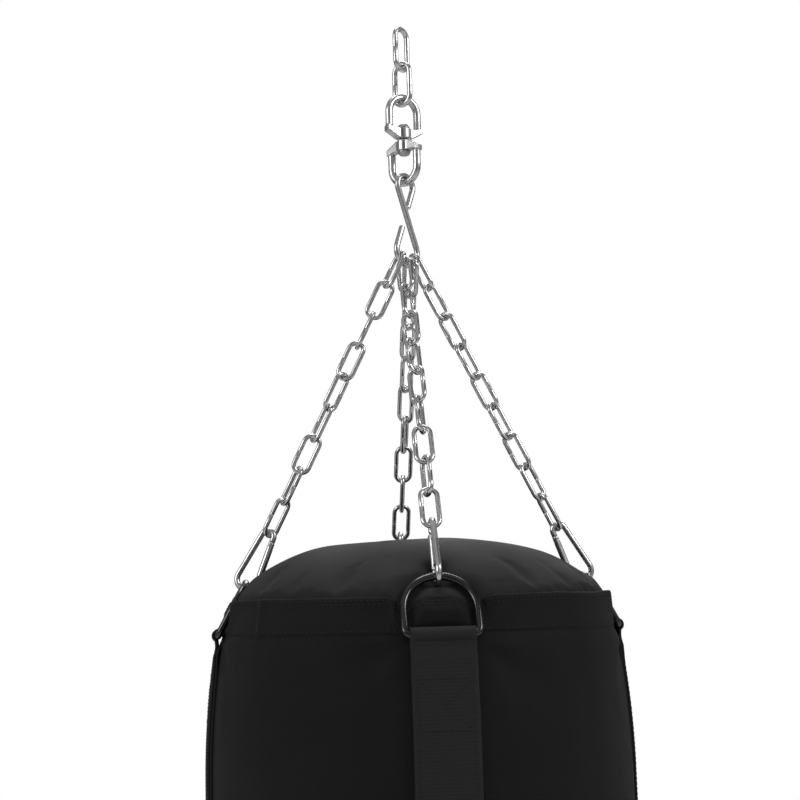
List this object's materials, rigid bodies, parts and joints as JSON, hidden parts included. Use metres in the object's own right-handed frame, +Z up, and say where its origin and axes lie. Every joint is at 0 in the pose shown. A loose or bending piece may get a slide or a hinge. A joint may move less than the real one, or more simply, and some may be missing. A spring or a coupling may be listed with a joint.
{
  "type": "hanging punching bag",
  "caption": "Cylindrical padded punching bag hung on a chain bridle, with snap hooks, D-rings, an S-hook, a swivel and a top link.",
  "frame": {"origin": "inside crown of the top hanging link, where it bears on whatever holds the bag up", "axes": "+Z up along the hanging line, -Y to the front ring and strap, +X to the right ring and strap"},
  "size_m": [0.3654, 0.3654, 1.5637],
  "materials": {
    "top_links": "bright zinc plate",
    "swivel_eyes": "bright zinc plate on forgings",
    "pins": "plain steel",
    "s_hook": "bright zinc plate",
    "chain": "bright zinc plate",
    "snap_hooks": "bright zinc plate",
    "ring_enamel": "glossy black enamel",
    "webbing": "woven nylon webbing",
    "top_fabric": "matt coated nylon",
    "cover_fabric": "matt coated nylon",
    "foam": "soft foam sheet",
    "filling": "packed shredded textile"
  },
  "bodies": {
    "top": {"hanging_link": "top_links"},
    "link": {"swivel_link": "top_links"},
    "swivel_top": {"swivel_upper_eye": "swivel_eyes", "swivel_pin": "pins"},
    "swivel_bottom": {"swivel_lower_eye": "swivel_eyes"},
    "bag": {"s_hook": "s_hook", "chain_front_upper": "chain", "chain_front_middle": "chain", "chain_front_lower": "chain", "chain_right_upper": "chain", "chain_right_middle": "chain", "chain_right_lower": "chain", "chain_rear_upper": "chain", "chain_rear_middle": "chain", "chain_rear_lower": "chain", "chain_left_upper": "chain", "chain_left_middle": "chain", "chain_left_lower": "chain", "snap_hook_front": "snap_hooks", "snap_hook_right": "snap_hooks", "snap_hook_rear": "snap_hooks", "snap_hook_left": "snap_hooks", "gate_rivets": "pins", "d_ring_front": "ring_enamel", "d_ring_right": "ring_enamel", "d_ring_rear": "ring_enamel", "d_ring_left": "ring_enamel", "strap_front": "webbing", "strap_right": "webbing", "strap_rear": "webbing", "strap_left": "webbing", "top_cap": "top_fabric", "top_hem": "cover_fabric", "side_cover": "cover_fabric", "bottom_disc": "cover_fabric", "bottom_piping": "cover_fabric", "foam_liner": "foam", "filling": "filling"},
    "gate_front": {"gate_front": "snap_hooks", "gate_spring_front": "pins"},
    "gate_right": {"gate_right": "snap_hooks", "gate_spring_right": "pins"},
    "gate_rear": {"gate_rear": "snap_hooks", "gate_spring_rear": "pins"},
    "gate_left": {"gate_left": "snap_hooks", "gate_spring_left": "pins"}
  },
  "joints": [
    {"name": "link_swing", "type": "hinge", "parent": "top", "child": "link", "pos_m": [0, 0, -0.0355], "axis": [0.7071, 0.7071, 0], "range_deg": [-25, 25]},
    {"name": "swivel_swing", "type": "hinge", "parent": "link", "child": "swivel_top", "pos_m": [0, 0, -0.06835], "axis": [0.7193, -0.6947, 0], "range_deg": [-25, 25]},
    {"name": "swivel_spin", "type": "hinge", "parent": "swivel_top", "child": "swivel_bottom", "pos_m": [0, 0, -0.10165], "axis": [0, 0, 1], "continuous": true},
    {"name": "bag_swing", "type": "hinge", "parent": "swivel_bottom", "child": "bag", "pos_m": [0, 0, -0.1411], "axis": [0.6947, -0.7193, 0], "range_deg": [-25, 25]},
    {"name": "gate_front_open", "type": "hinge", "parent": "bag", "child": "gate_front", "pos_m": [-0.00054, -0.12426, -0.46363], "axis": [-0.9997, -0.0236, 0], "range_deg": [0, 20], "stiffness_Nm_per_rad": 0.05, "springref_deg": -17.19},
    {"name": "gate_right_open", "type": "hinge", "parent": "bag", "child": "gate_right", "pos_m": [0.12474, 0.00102, -0.46298], "axis": [-0.0459, -0.9989, 0], "range_deg": [0, 20], "stiffness_Nm_per_rad": 0.05, "springref_deg": -17.19},
    {"name": "gate_rear_open", "type": "hinge", "parent": "bag", "child": "gate_rear", "pos_m": [0.00054, 0.12426, -0.46363], "axis": [0.9997, 0.0236, 0], "range_deg": [0, 20], "stiffness_Nm_per_rad": 0.05, "springref_deg": -17.19},
    {"name": "gate_left_open", "type": "hinge", "parent": "bag", "child": "gate_left", "pos_m": [-0.1251, -0.0029, -0.46285], "axis": [0.3203, 0.9373, -0.137], "range_deg": [0, 20], "stiffness_Nm_per_rad": 0.05, "springref_deg": -17.19}
  ]
}
